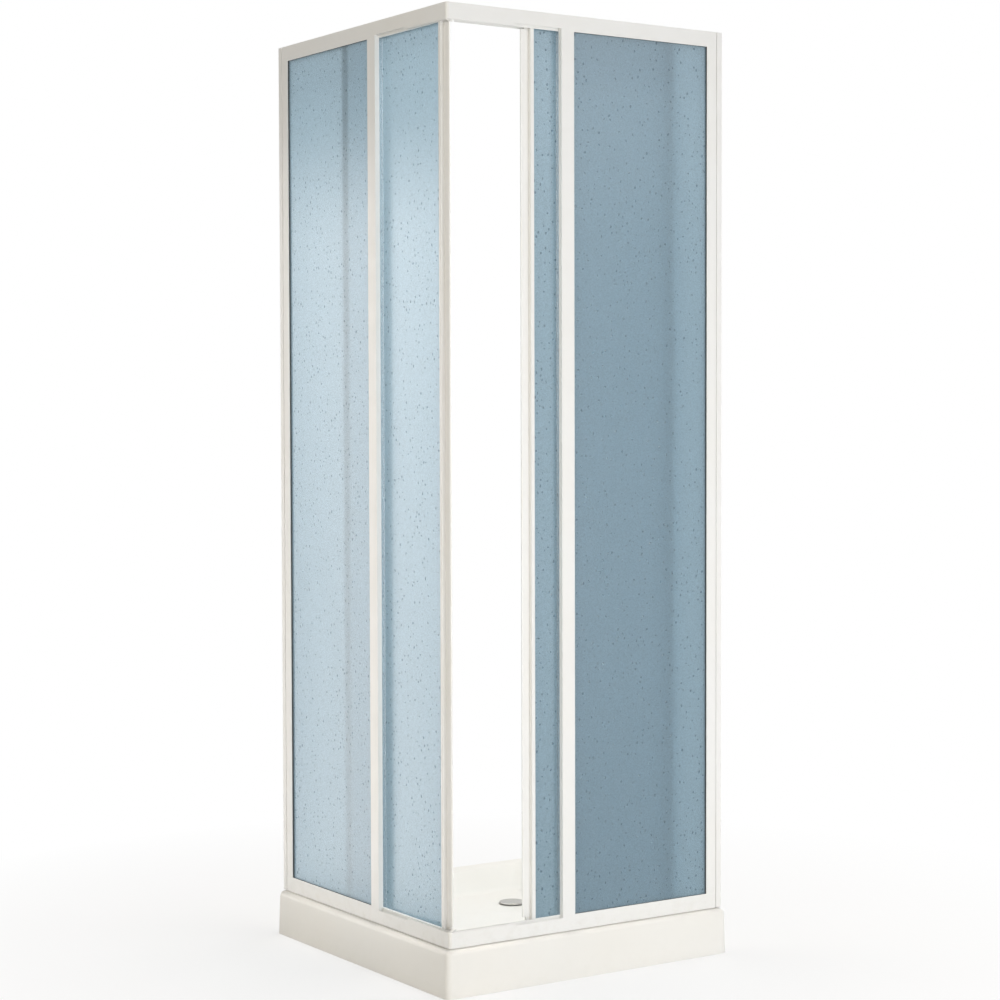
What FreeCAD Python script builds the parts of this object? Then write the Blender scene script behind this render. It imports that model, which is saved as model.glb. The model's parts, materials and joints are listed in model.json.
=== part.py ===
"""Corner shower enclosure: two framed sides with sliding doors, on a square tray in the corner of a room.

The origin is under the middle of the tray and +Z is up. The frame is fixed to walls at its +X and +Y ends,
and the tray reaches a little past those ends. The right side of the enclosure runs along X and the left side
along Y, each from the open front corner to its wall. A place on a side is given by how far along it lies
from that corner, how deep behind the outer face, and how high. The two sides are alike, so one set of
functions builds both.
"""
import FreeCAD, Part
import math
import os
import re
import Sketcher

# Driving sizes, in millimetres
SIZES = {
    # tray
    "tray_side": 708,
    "tray_reach": 8,
    "tray_height": 95,
    "tray_flare": 4,
    "tray_wall": 14,
    "tray_floor": 13,
    "tray_edge_radius": 11,
    "tray_corner_extra": 2,
    "tray_back_radius": 16,
    "basin_depth": 45,
    "basin_front_rim": 62,
    "basin_back_rim": 54,
    "basin_run": 64,
    "basin_corner_radius": 80,
    "basin_floor_radius": 40,
    "basin_rim_radius": 12,
    # waste
    "drain_offset": 117,
    "drain_hole": 46,
    "drain_flange_width": 62,
    "drain_flange_thickness": 1.8,
    "drain_recess_gap": 0.6,
    "drain_tube": 41.9,
    "drain_bore": 36,
    "drain_outlet": 32.6,
    "drain_outlet_length": 24,
    "drain_tail_height": 6,
    "drain_gasket_thickness": 1.2,
    "drain_gasket_inset": 1.5,
    "drain_nut_width": 58,
    "drain_nut_height": 9,
    "drain_cover_width": 58,
    "drain_cover_thickness": 2.6,
    "drain_cover_bevel": 1,
    "drain_cover_gap": 1.6,
    "drain_cover_foot": 4,
    "drain_cover_sleeve": 31,
    "drain_cover_sleeve_wall": 1.6,
    "drain_cover_sleeve_length": 12,
    "thread_gap": 0.05,
    # frame
    "frame_inset": 15,
    "frame_height": 1850,
    "seal_thickness": 1.5,
    "seal_setback": 3,
    "rail_depth": 32,
    "rail_height": 32,
    "sill_back_height": 21,
    "profile_wall": 1.6,
    "glazing_width": 8,
    "glazing_depth": 11,
    "screw_port": 6,
    "notch_length": 115,
    "notch_depth": 4.5,
    "corner_strip": 6,
    "corner_chamfer": 2.5,
    "tenon_length": 48,
    "tenon_gap": 0.3,
    "channel_leg": 13,
    "channel_gap": 2,
    "post_gap": 0.3,
    "post_wall_gap": 5,
    "wall_hole": 5.5,
    "wall_hole_margin": 150,
    "post_screw_margin": 320,
    "channel_screw_margin": 240,
    # fixed panel
    "middle_stile_width": 31,
    "jamb_width": 24,
    "stile_setback": 0.4,
    "stile_wall": 1.2,
    "spigot_gap": 0.2,
    "spigot_overlap": 12,
    "fixed_panel_thickness": 3,
    "gasket_front": 3.4,
    "panel_bite": 9,
    "wiper_thickness": 1.6,
    "wiper_gap": 0.6,
    # sliding door
    "door_width": 398.5,
    "door_lap": 118.7,
    "door_jamb_gap": 8.3,
    "door_wiper_gap": 2.8,
    "right_door_short_of_open": 51,
    "door_panel_thickness": 3,
    "door_panel_gap": 0.2,
    "door_block_depth": 13,
    "door_block_proud": 7.5,
    "leading_block_width": 8,
    "trailing_block_width": 13,
    "trailing_flange_width": 9,
    "trailing_flange_thickness": 3,
    "strip_width": 15.5,
    "strip_thickness": 5,
    "strip_setback": 0.5,
    "strip_end_gap": 1,
    "strip_sill_gap": 4,
    "seal_body": 3,
    "seal_tongue": 3,
    "seal_tongue_thickness": 2,
    "seal_chamfer": 2.5,
    "seal_meeting_gap": 0.4,
    "stile_chamber_wall": 1.4,
    "stile_groove": 5.5,
    "panel_end_gap": 0.5,
    "door_head_gap": 1.3,
    "door_sill_gap": 17.5,
    "door_rail_depth": 12.5,
    "door_top_rail_height": 11.5,
    "door_bottom_rail_height": 13,
    "slot_neck": 3.4,
    "slot_width": 7.4,
    "slot_lip": 1.6,
    "slot_height": 2.8,
    "slot_fit": 0.2,
    "door_rail_web": 2.6,
    "cap_height": 5,
    "cap_inset": 0.4,
    "cap_start": 8,
    "foot_height": 12,
    # running gear
    "roller_space": 14.5,
    "roller_width": 5,
    "roller_diameter": 13,
    "roller_spread": 11.8,
    "roller_rise": 0.3,
    "track_slot": 8.4,
    "axle_diameter": 3,
    "axle_length": 17.8,
    "axle_fit": 0.05,
    "press_fit": 0.02,
    "hanger_margin": 60,
    "hanger_length": 20,
    "hanger_thickness": 3,
    "hanger_cheek": 4.5,
    "stop_length": 20,
    "stop_height": 11,
    "stop_gap": 0.5,
    "stop_side_gap": 0.4,
    "guide_rib_thickness": 1.6,
    "guide_rib_height": 9.5,
    "shoe_length": 30,
    "shoe_depth": 10,
    "shoe_drop": 11.5,
    "shoe_rail_gap": 0.5,
    "shoe_rib_gap": 0.5,
    "shoe_rib_clearance": 2,
    # fasteners
    "screw_diameter": 2.9,
    "screw_head": 5.5,
    "screw_head_height": 1.8,
    "screw_gap": 0.1,
    "port_screw_length": 22,
    "sheet_screw_length": 9,
    "door_screw_grip": 14,
    "corner_screw_length": 9,
    "cap_wall": 1.2,
    "cap_gap": 0.3,
}

# Places and sizes that follow from the driving sizes
PLACES = {
    # the enclosure's own corner, ends and levels
    "corner": "frame_inset - tray_side / 2",
    "side_length": "tray_side - frame_inset - tray_reach",
    "base": "tray_height + seal_thickness",
    "top": "base + frame_height",
    "sill_top": "base + rail_height",
    "header_bottom": "top - rail_height",
    "middle": "(base + top) / 2",
    # depths of the rail's webs
    "web_front": "profile_wall + glazing_width",
    "web_back": "web_front + profile_wall",
    "rear_front": "rail_depth - profile_wall",
    "glazing_middle": "profile_wall + glazing_width / 2",
    "door_plane": "(web_back + rear_front) / 2",
    "slot_front": "door_plane - track_slot / 2",
    "slot_back": "door_plane + track_slot / 2",
    # levels in the rails
    "sill_channel_floor": "sill_top - glazing_depth",
    "header_channel_roof": "header_bottom + glazing_depth",
    "lip_top": "top - profile_wall - roller_space",
    "lip_bottom": "lip_top - profile_wall",
    "rib_top": "base + profile_wall + guide_rib_height",
    "port_depth": "web_front - screw_port / 2",
    "sill_port_level": "base + profile_wall + screw_port / 2",
    "header_port_level": "top - profile_wall - screw_port / 2",
    # the wall end
    "channel_start": "side_length - channel_leg",
    "rail_end": "channel_start - channel_gap",
    "post_face": "rail_end + profile_wall",
    "post_end": "side_length - post_wall_gap",
    "post_front": "profile_wall + post_gap",
    "post_back": "rail_depth - post_front",
    "channel_screw_line": "(channel_start + post_end) / 2",
    # fixed panel: a shut door laps behind it
    "middle_stile_start": "closed_start + door_width - door_lap - middle_stile_width",
    "middle_stile_end": "middle_stile_start + middle_stile_width",
    "middle_groove": "middle_stile_end - glazing_depth",
    "jamb_start": "rail_end - jamb_width",
    "jamb_groove": "jamb_start + glazing_depth",
    "stile_back": "web_front + stile_wall",
    "fixed_front": "profile_wall + gasket_front",
    "fixed_back": "fixed_front + fixed_panel_thickness",
    # depths of the door
    "door_front": "door_plane - door_panel_thickness / 2",
    "door_back": "door_plane + door_panel_thickness / 2",
    "door_groove_front": "door_front - door_panel_gap",
    "door_groove_back": "door_back + door_panel_gap",
    "block_front": "door_plane - door_block_proud",
    "block_back": "block_front + door_block_depth",
    "strip_front": "door_plane + strip_setback",
    "strip_back": "strip_front + strip_thickness",
    "tongue_front": "strip_front + (strip_thickness - seal_tongue_thickness) / 2",
    "tongue_back": "tongue_front + seal_tongue_thickness",
    "door_rail_front": "door_plane - door_rail_depth / 2",
    "door_rail_back": "door_plane + door_rail_depth / 2",
    "door_screw_depth": "(door_rail_front + door_groove_front) / 2",
    # lengths along the door, from its closing edge
    "closed_start": "strip_back + seal_meeting_gap - seal_chamfer",
    "lead_block": "seal_body + strip_width",
    "lead_end": "lead_block + leading_block_width",
    "lead_groove": "lead_end - stile_groove",
    "trail_start": "door_width - trailing_flange_width - trailing_block_width",
    "trail_groove": "trail_start + stile_groove",
    "trail_end": "door_width - trailing_flange_width",
    "rear_hanger": "door_width - hanger_margin",
    # a door pushed wide open stops short of the jamb and of the fin on the middle stile
    "open_at_jamb": "jamb_start - door_jamb_gap - door_width",
    "open_at_wiper": "middle_stile_start - door_wiper_gap - lead_end",
    "door_travel": "min(open_at_jamb; open_at_wiper) - closed_start",
    "right_door_opening": "door_travel - right_door_short_of_open",
    # levels of the door
    "door_top": "lip_bottom - door_head_gap",
    "door_bottom": "base + door_sill_gap",
    "strip_bottom": "sill_top + strip_sill_gap",
    "strip_top": "header_bottom - strip_end_gap",
    "top_rail_bottom": "door_top - door_top_rail_height",
    "top_slot_roof": "door_top - slot_lip",
    "top_slot_floor": "top_slot_roof - slot_height",
    "top_groove_roof": "top_slot_floor - door_rail_web",
    "bottom_rail_top": "door_bottom + door_bottom_rail_height",
    "bottom_slot_floor": "door_bottom + slot_lip",
    "bottom_slot_roof": "bottom_slot_floor + slot_height",
    "bottom_groove_floor": "bottom_slot_roof + door_rail_web",
    "panel_bottom": "bottom_groove_floor + panel_end_gap",
    "panel_top": "top_groove_roof - panel_end_gap",
    "top_screw_level": "(top_rail_bottom + top_groove_roof) / 2",
    "bottom_screw_level": "(bottom_groove_floor + bottom_rail_top) / 2",
    "axle_level": "lip_top + roller_rise + roller_diameter / 2",
    "foot_bottom": "strip_bottom - foot_height",
    "shoe_top": "door_bottom - shoe_rail_gap",
    "shoe_bottom": "shoe_top - shoe_drop",
    # basin and waste
    "basin_start": "basin_front_rim - tray_side / 2",
    "basin_end": "tray_side / 2 - basin_back_rim",
    "basin_level": "tray_height - basin_depth",
    "tray_underside": "basin_level - tray_floor",
    "flange_top": "basin_level",
    "flange_seat": "flange_top - drain_flange_thickness",
    "recess_floor": "flange_seat - drain_gasket_thickness",
    "washer_bottom": "tray_underside - drain_gasket_thickness",
    "nut_bottom": "washer_bottom - drain_nut_height",
    "cover_bottom": "flange_top + drain_cover_gap",
    "cover_top": "cover_bottom + drain_cover_thickness",
    "outlet_top": "drain_tail_height + drain_outlet_length",
}

SIDES = ("left", "right")
# How far each door stands open along its side
DOOR_OPENING = {"left": "0", "right": "right_door_opening"}
WALL_HOLE_LEVELS = ("base + wall_hole_margin", "middle", "top - wall_hole_margin")
JAMB_SCREW_LEVELS = ("base + post_screw_margin", "middle", "top - post_screw_margin")
CHANNEL_SCREW_LEVELS = ("base + channel_screw_margin", "middle", "top - channel_screw_margin")
HANGERS = {"front": "hanger_margin", "rear": "rear_hanger"}
COVER_FEET = 3
# Two places closer than this are the same place
TOUCH = 0.01

X_AXIS = FreeCAD.Vector(1, 0, 0)
Y_AXIS = FreeCAD.Vector(0, 1, 0)
Z_AXIS = FreeCAD.Vector(0, 0, 1)
HEADINGS = {
    "left": {"along": Y_AXIS, "inward": X_AXIS, "up": Z_AXIS},
    "right": {"along": X_AXIS, "inward": Y_AXIS, "up": Z_AXIS},
}

doc = FreeCAD.newDocument("corner_shower")
sheet = doc.addObject("Spreadsheet::Sheet", "Sizes")
for row, (name, number) in enumerate(SIZES.items(), start=1):
    sheet.set(f"A{row}", name.replace("_", " "))
    sheet.set(f"B{row}", str(number))
    sheet.setAlias(f"B{row}", name)
doc.recompute()

nodes = []


# Formulas and shapes

def formula(text):
    """Writes a formula out in full, down to the cells of the sheet and the sheet's own functions."""
    def written_out(match):
        word = match.group(0)
        if word in SIZES:
            return f"Sizes.{word}"
        return f"({formula(PLACES[word])})" if word in PLACES else word
    return re.sub(r"[a-z_]+", written_out, text)


def value(text):
    """The number that a formula gives now."""
    return float(sheet.evalExpression(formula(text)))


def bind(item, **formulas):
    """Ties an object's sizes to formulas."""
    for name, text in formulas.items():
        item.setExpression(name, formula(text))


def put(item, x, y, z):
    """Ties an object's place to formulas."""
    for axis, text in zip("xyz", (x, y, z)):
        item.setExpression(f"Placement.Base.{axis}", formula(text))


def put_on_side(item, side, along, deep, level):
    """Places an object on one side of the enclosure."""
    along = f"corner + {along}"
    deep = f"corner + {deep}"
    x, y = (along, deep) if side == "right" else (deep, along)
    put(item, x, y, level)


def node(name, item):
    """Names a finished piece."""
    item.Label = name
    nodes.append(item)
    return item


def block(side, along, deep, level):
    """A block on one side, from and to a place along it, in depth and in height."""
    solid = doc.addObject("Part::Box", "block")
    run = f"({along[1]}) - ({along[0]})"
    depth = f"({deep[1]}) - ({deep[0]})"
    height = f"({level[1]}) - ({level[0]})"
    length, width = (run, depth) if side == "right" else (depth, run)
    bind(solid, Length=length, Width=width, Height=height)
    put_on_side(solid, side, along[0], deep[0], level[0])
    return solid


def turned(item, side, way):
    """Turns an upright round piece to point along, inward or up, or the other way with a minus sign."""
    heading = HEADINGS[side][way.lstrip("-")]
    heading = -heading if way.startswith("-") else heading
    item.Placement = FreeCAD.Placement(FreeCAD.Vector(), FreeCAD.Rotation(Z_AXIS, heading))


def rod(side, way, place, diameter, length):
    """A round rod on one side, starting at a place and pointing one way."""
    solid = doc.addObject("Part::Cylinder", "rod")
    bind(solid, Radius=f"({diameter}) / 2", Height=length)
    turned(solid, side, way)
    put_on_side(solid, side, *place)
    return solid


def taper(side, way, place, start, end, length):
    """A round taper on one side, starting at a place and pointing one way."""
    solid = doc.addObject("Part::Cone", "taper")
    bind(solid, Radius1=f"({start}) / 2", Radius2=f"({end}) / 2", Height=length)
    turned(solid, side, way)
    put_on_side(solid, side, *place)
    return solid


def joined(*pieces):
    """Pieces grown into one solid."""
    solid = doc.addObject("Part::MultiFuse", "joined")
    solid.Shapes = pieces
    solid.Refine = True
    return solid


def group(pieces):
    """Separate solids kept side by side."""
    solids = doc.addObject("Part::Compound", "group")
    solids.Links = pieces
    return solids


def cut(piece, *tools):
    """A piece with other shapes taken out of it."""
    solid = doc.addObject("Part::Cut", "cut")
    solid.Base = piece
    solid.Tool = tools[0] if len(tools) == 1 else joined(*tools)
    solid.Refine = True
    return solid


def origin_plane(body, role):
    return next(plane for plane in body.Origin.OriginFeatures if plane.Role == role)


def sketch_on(body, role, name):
    sketch = body.newObject("Sketcher::SketchObject", name)
    sketch.AttachmentSupport = [(origin_plane(body, role), "")]
    sketch.MapMode = "FlatFace"
    return sketch


def dimension(sketch, kind, element, point, text):
    """Ties one coordinate of a sketched point to a formula."""
    index = sketch.addConstraint(Sketcher.Constraint(kind, -1, 1, element, point, value(text)))
    sketch.setExpression(f"Constraints[{index}]", formula(text))


def draw(sketch, outline):
    """Draws a closed outline of straight lines, with every corner tied to its formulas."""
    first = sketch.GeometryCount
    corners = [FreeCAD.Vector(value(across), value(up), 0) for across, up in outline]
    count = len(corners)
    for index, start in enumerate(corners):
        sketch.addGeometry(Part.LineSegment(start, corners[(index + 1) % count]))
    for index, (across, up) in enumerate(outline):
        line = first + index
        sketch.addConstraint(Sketcher.Constraint("Coincident", line, 2, first + (index + 1) % count, 1))
        dimension(sketch, "DistanceX", line, 1, across)
        dimension(sketch, "DistanceY", line, 1, up)


def pad(body, sketch, length, backward=False):
    feature = body.newObject("PartDesign::Pad", "length")
    feature.Profile = sketch
    feature.Reversed = backward
    bind(feature, Length=length)


def upright(side, outlines, bottom, top):
    """A piece of constant section that stands upright. Its outlines are given along and deep."""
    body = doc.addObject("PartDesign::Body", "upright")
    sketch = sketch_on(body, "XY_Plane", "section")
    for outline in outlines:
        draw(sketch, outline if side == "right" else [(deep, along) for along, deep in outline])
    pad(body, sketch, f"({top}) - ({bottom})")
    put(body, "corner", "corner", bottom)
    return body


def rail(side, outlines, start, end):
    """A piece of constant section that lies along one side. Its outlines are given deep and high."""
    body = doc.addObject("PartDesign::Body", "rail")
    sketch = sketch_on(body, "YZ_Plane" if side == "right" else "XZ_Plane", "section")
    for outline in outlines:
        draw(sketch, outline)
    pad(body, sketch, f"({end}) - ({start})", backward=side == "left")
    put_on_side(body, side, start, "0", "0")
    return body


# Fasteners

def screw(side, way, place, length):
    """A pan head screw driven one way. The place is where its head bears."""
    back = way.lstrip("-") if way.startswith("-") else f"-{way}"
    head = rod(side, back, place, "screw_head", "screw_head_height")
    shank = rod(side, way, place, "screw_diameter", length)
    return joined(head, shank)


def screw_hole(side, way, place, length):
    return rod(side, way, place, "screw_diameter + 2 * screw_gap", length)


def corner_screw_place(level):
    """Where a corner screw enters a rail, over the middle of the joint's tenon."""
    return ("(rail_depth + tenon_length) / 2", "glazing_middle", level)


def corner_screw(side, level, way, gap="0"):
    """A countersunk screw through a rail's web into the corner joint, or with a gap its hole."""
    place = corner_screw_place(level)
    head = taper(side, way, place, f"screw_head + {gap}", f"screw_diameter + {gap}", "profile_wall")
    shank = rod(side, way, place, f"screw_diameter + {gap}", "corner_screw_length")
    return joined(head, shank)


def corner_screw_hole(side, level, way):
    return corner_screw(side, level, way, "2 * screw_gap")


# Tray and waste

def edges_where(body, test):
    """Names the edges of a body whose bounding box passes a test."""
    return [f"Edge{number}" for number, edge in enumerate(body.Shape.Edges, start=1) if test(edge.BoundBox)]


def near(first, second):
    return abs(first - second) < TOUCH


def level_sketch(body, name, level, outline):
    """A flat outline at a level of the tray."""
    sketch = sketch_on(body, "XY_Plane", name)
    sketch.setExpression("AttachmentOffset.Base.z", formula(level))
    draw(sketch, outline)
    return sketch


def rectangle(low, high):
    """The corners of a square between two places on both axes."""
    return [(low, low), (high, low), (high, high), (low, high)]


def loft(body, kind, upper, lower):
    """Adds or takes away the space between two outlines, and stops if nothing changed."""
    doc.recompute()
    before = body.Shape.Volume if body.Tip else 0
    feature = body.newObject(f"PartDesign::{kind}Loft", "loft")
    feature.Profile = upper
    feature.Sections = [lower]
    feature.Ruled = True
    doc.recompute()
    if near(body.Shape.Volume, before):
        raise RuntimeError("a loft changed nothing")


def pocket_up(body, sketch, length):
    """Cuts upward from a sketch, and stops if nothing was cut."""
    doc.recompute()
    before = body.Shape.Volume
    feature = body.newObject("PartDesign::Pocket", "pocket")
    feature.Profile = sketch
    feature.Reversed = True
    bind(feature, Length=length)
    doc.recompute()
    if not body.Shape.Volume < before:
        raise RuntimeError("a pocket cut nothing")


def rounded(body, radius, test):
    """Rounds the edges of a body that pass a test."""
    names = edges_where(body, test)
    if not names:
        raise RuntimeError("no edge to round")
    base = body.Tip
    feature = body.newObject("PartDesign::Fillet", "rounding")
    feature.Base = (base, names)
    bind(feature, Radius=radius)
    doc.recompute()
    if "Invalid" in feature.State:
        raise RuntimeError(f"edges could not be rounded by {radius}")


def shower_tray():
    """The tray: a skirt that flares on its two open sides, a sloping basin and a hollow underside."""
    body = doc.addObject("PartDesign::Body", "tray")
    half = "tray_side / 2"
    foot = level_sketch(body, "foot", "0", rectangle(f"-{half}", half))
    rim = level_sketch(body, "rim", "tray_height", rectangle(f"tray_flare - {half}", half))
    loft(body, "Additive", rim, foot)
    height = value("tray_height")
    wall = value(half)

    def front_corner(box):
        return box.XMax < 0 and box.YMax < 0 and box.ZLength > height / 2

    def front_edge(box):
        return near(box.ZMin, height) and (box.XMax < 0 or box.YMax < 0)

    def back_edge(box):
        return near(box.ZMin, height) and (near(box.XMin, wall) or near(box.YMin, wall))

    rounded(body, "tray_edge_radius + tray_corner_extra", front_corner)
    rounded(body, "tray_edge_radius", front_edge)
    rounded(body, "tray_back_radius", back_edge)

    mouth = level_sketch(body, "mouth", "tray_height", rectangle("basin_start", "basin_end"))
    floor = rectangle("basin_start + basin_run", "basin_end - basin_run")
    bed = level_sketch(body, "bed", "basin_level", floor)
    loft(body, "Subtractive", mouth, bed)
    level = value("basin_level")
    low = value("basin_start")
    high = value("basin_end")

    def basin_corner(box):
        return near(box.ZMin, level) and near(box.ZMax, height)

    def floor_edge(box):
        return near(box.ZMin, level) and near(box.ZMax, level)

    def rim_edge(box):
        across = low - TOUCH < box.XMin and box.XMax < high + TOUCH
        return near(box.ZMin, height) and across and low - TOUCH < box.YMin and box.YMax < high + TOUCH

    rounded(body, "basin_corner_radius", basin_corner)
    rounded(body, "basin_floor_radius", floor_edge)
    rounded(body, "basin_rim_radius", rim_edge)

    hollow = level_sketch(body, "hollow", "0", rectangle(f"tray_wall - {half}", f"{half} - tray_wall"))
    pocket_up(body, hollow, "tray_underside")
    recess = waste_rod("recess_floor", "tray_height", "drain_flange_width + 2 * drain_recess_gap")
    return cut(body, joined(recess, waste_rod("0", "tray_height", "drain_hole")))


def waste_rod(bottom, top, diameter):
    """An upright round rod in the middle of the waste."""
    solid = doc.addObject("Part::Cylinder", "round")
    bind(solid, Radius=f"({diameter}) / 2", Height=f"({top}) - ({bottom})")
    put(solid, "drain_offset", "drain_offset", bottom)
    return solid


def ring(bottom, top, diameter, bore):
    """An upright ring round the middle of the waste."""
    return cut(waste_rod(bottom, top, diameter), waste_rod(bottom, top, bore))


def drain_flange():
    """The waste's chromed flange and its threaded tube, with a narrower outlet that takes the waste pipe."""
    collar = waste_rod("flange_seat", "flange_top", "drain_flange_width")
    tube = waste_rod("drain_tail_height", "flange_top", "drain_tube")
    bowl = waste_rod("outlet_top", "flange_top", "drain_bore")
    outlet = waste_rod("drain_tail_height", "outlet_top", "drain_outlet")
    return cut(joined(collar, tube), joined(bowl, outlet))


def drain_gasket():
    """The rubber ring between the flange and the tray."""
    return ring("recess_floor", "flange_seat", "drain_flange_width - 2 * drain_gasket_inset", "drain_hole")


def drain_washer():
    """The rubber ring between the tray and the nut."""
    return ring("washer_bottom", "tray_underside", "drain_nut_width", "drain_hole")


def drain_nut():
    """The hexagon nut that clamps the waste from below."""
    nut = doc.addObject("Part::Prism", "hexagon")
    nut.Polygon = 6
    bind(nut, Circumradius="drain_nut_width / 2", Height="drain_nut_height")
    put(nut, "drain_offset", "drain_offset", "nut_bottom")
    return cut(nut, waste_rod("nut_bottom", "washer_bottom", "drain_tube + 2 * thread_gap"))


def drain_cover():
    """The lift-out cover: a bevelled disc on three feet, and a sleeve that drops into the waste."""
    disc = waste_rod("cover_bottom", "cover_top - drain_cover_bevel", "drain_cover_width")
    bevel = doc.addObject("Part::Cone", "bevel")
    bind(bevel, Radius1="drain_cover_width / 2", Radius2="drain_cover_width / 2 - drain_cover_bevel",
         Height="drain_cover_bevel")
    put(bevel, "drain_offset", "drain_offset", "cover_top - drain_cover_bevel")
    sleeve = ring("flange_top - drain_cover_sleeve_length", "cover_bottom", "drain_cover_sleeve",
                  "drain_cover_sleeve - 2 * drain_cover_sleeve_wall")
    feet = []
    for number in range(COVER_FEET):
        foot = doc.addObject("Part::Cylinder", "foot")
        bind(foot, Radius="drain_cover_foot / 2", Height="drain_cover_gap")
        turn = math.radians(360 * number / COVER_FEET)
        reach = "(drain_bore + drain_cover_width) / 4"
        x = f"drain_offset + {reach} * ({math.cos(turn):.6f})"
        y = f"drain_offset + {reach} * ({math.sin(turn):.6f})"
        put(foot, x, y, "flange_top")
        feet.append(foot)
    return joined(disc, bevel, sleeve, *feet)


# Frame of one side

def mitre(side):
    """The space on the corner's side of the slanting end of a rail."""
    outline = [
        ("-corner_strip", "-corner_strip"),
        ("0", "-corner_strip"),
        ("rail_depth + 2 * corner_strip", "rail_depth + corner_strip"),
        ("-corner_strip", "rail_depth + corner_strip"),
    ]
    return upright(side, [outline], "base - corner_strip", "top + corner_strip")


def header(side):
    """The upper rail: a hollow box and glazing channel in front, the roller track behind."""
    profile = [
        ("0", "header_bottom"), ("0", "top"), ("rail_depth", "top"), ("rail_depth", "header_bottom"),
        ("rear_front", "header_bottom"), ("rear_front", "lip_bottom"),
        ("slot_back", "lip_bottom"), ("slot_back", "lip_top"),
        ("rear_front", "lip_top"), ("rear_front", "top - profile_wall"),
        ("web_back", "top - profile_wall"), ("web_back", "lip_top"),
        ("slot_front", "lip_top"), ("slot_front", "lip_bottom"),
        ("web_back", "lip_bottom"), ("web_back", "header_bottom"),
        ("web_front", "header_bottom"), ("web_front", "header_channel_roof"),
        ("profile_wall", "header_channel_roof"), ("profile_wall", "header_bottom"),
    ]
    chamber = [
        ("profile_wall", "header_channel_roof + profile_wall"),
        ("web_front", "header_channel_roof + profile_wall"),
        ("web_front", "top - profile_wall - screw_port"),
        ("web_front - screw_port", "top - profile_wall - screw_port"),
        ("web_front - screw_port", "top - profile_wall"),
        ("profile_wall", "top - profile_wall"),
    ]
    return cut(
        rail(side, [profile, chamber], "0", "rail_end"),
        mitre(side),
        notch(side, "header_bottom", "header_bottom + notch_depth"),
        screw_hole(side, "-along", ("rail_end", "port_depth", "header_port_level"), "port_screw_length"),
        corner_screw_hole(side, "top", "-up"),
    )


def sill(side):
    """The lower rail: a hollow box and glazing channel in front, the guide rib behind."""
    profile = [
        ("0", "base"), ("0", "sill_top"), ("profile_wall", "sill_top"),
        ("profile_wall", "sill_channel_floor"), ("web_front", "sill_channel_floor"),
        ("web_front", "sill_top"), ("web_back", "sill_top"), ("web_back", "base + profile_wall"),
        ("door_plane - guide_rib_thickness / 2", "base + profile_wall"),
        ("door_plane - guide_rib_thickness / 2", "rib_top"),
        ("door_plane + guide_rib_thickness / 2", "rib_top"),
        ("door_plane + guide_rib_thickness / 2", "base + profile_wall"),
        ("rear_front", "base + profile_wall"), ("rear_front", "base + sill_back_height"),
        ("rail_depth", "base + sill_back_height"), ("rail_depth", "base"),
    ]
    chamber = [
        ("profile_wall", "base + profile_wall"),
        ("web_front - screw_port", "base + profile_wall"),
        ("web_front - screw_port", "base + profile_wall + screw_port"),
        ("web_front", "base + profile_wall + screw_port"),
        ("web_front", "sill_channel_floor - profile_wall"),
        ("profile_wall", "sill_channel_floor - profile_wall"),
    ]
    return cut(
        rail(side, [profile, chamber], "0", "rail_end"),
        mitre(side),
        notch(side, "sill_top - notch_depth", "sill_top"),
        screw_hole(side, "-along", ("rail_end", "port_depth", "sill_port_level"), "port_screw_length"),
        corner_screw_hole(side, "base", "up"),
    )


def notch(side, bottom, top):
    """The cut in a rail's front lip beside the middle stile, where the fixed panel's frame is fed in."""
    along = ("middle_stile_start - notch_length", "middle_stile_start")
    return block(side, along, ("0", "profile_wall"), (bottom, top))


def wall_channel(side):
    """The channel screwed to the wall, open towards the enclosure."""
    profile = [
        ("channel_start", "0"), ("side_length", "0"), ("side_length", "rail_depth"),
        ("channel_start", "rail_depth"), ("channel_start", "rear_front"),
        ("side_length - profile_wall", "rear_front"), ("side_length - profile_wall", "profile_wall"),
        ("channel_start", "profile_wall"),
    ]
    holes = [rod(side, "-along", ("side_length", "rail_depth / 2", level), "wall_hole", "profile_wall")
             for level in WALL_HOLE_LEVELS]
    holes += [screw_hole(side, "-inward", ("channel_screw_line", "rail_depth", level), "profile_wall")
              for level in CHANNEL_SCREW_LEVELS]
    return cut(upright(side, [profile], "base", "top"), *holes)


def post_screw_places():
    """Where each screw's head bears on the post: into both rails' ports and into the jamb stile."""
    port_levels = ("sill_port_level", "header_port_level")
    port_places = [("post_face", "port_depth", level) for level in port_levels]
    sheet_places = [("post_face", "port_depth", level) for level in JAMB_SCREW_LEVELS]
    return port_places, sheet_places


def side_post(side):
    """The post that slides in the wall channel and carries the ends of both rails."""
    profile = [
        ("rail_end", "post_front"), ("post_end", "post_front"), ("post_end", "post_front + profile_wall"),
        ("post_face", "post_front + profile_wall"), ("post_face", "post_back - profile_wall"),
        ("post_end", "post_back - profile_wall"), ("post_end", "post_back"), ("rail_end", "post_back"),
    ]
    port_places, sheet_places = post_screw_places()
    holes = [screw_hole(side, "-along", place, "profile_wall") for place in port_places + sheet_places]
    holes += [screw_hole(side, "-inward", ("channel_screw_line", "post_back", level), "profile_wall")
              for level in CHANNEL_SCREW_LEVELS]
    return cut(upright(side, [profile], "base", "top"), *holes)


def stile_with_spigots(side, profile, chamber, along):
    """An upright stile between the rails, with plugs at both ends that stand in the glazing channels."""
    deep = ("profile_wall + spigot_gap", "web_front - spigot_gap")
    lower = block(side, along, deep, ("sill_channel_floor", "sill_top + spigot_overlap"))
    upper = block(side, along, deep, ("header_bottom - spigot_overlap", "header_channel_roof"))
    return joined(upright(side, [profile, chamber], "sill_top", "header_bottom"), lower, upper)


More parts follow.
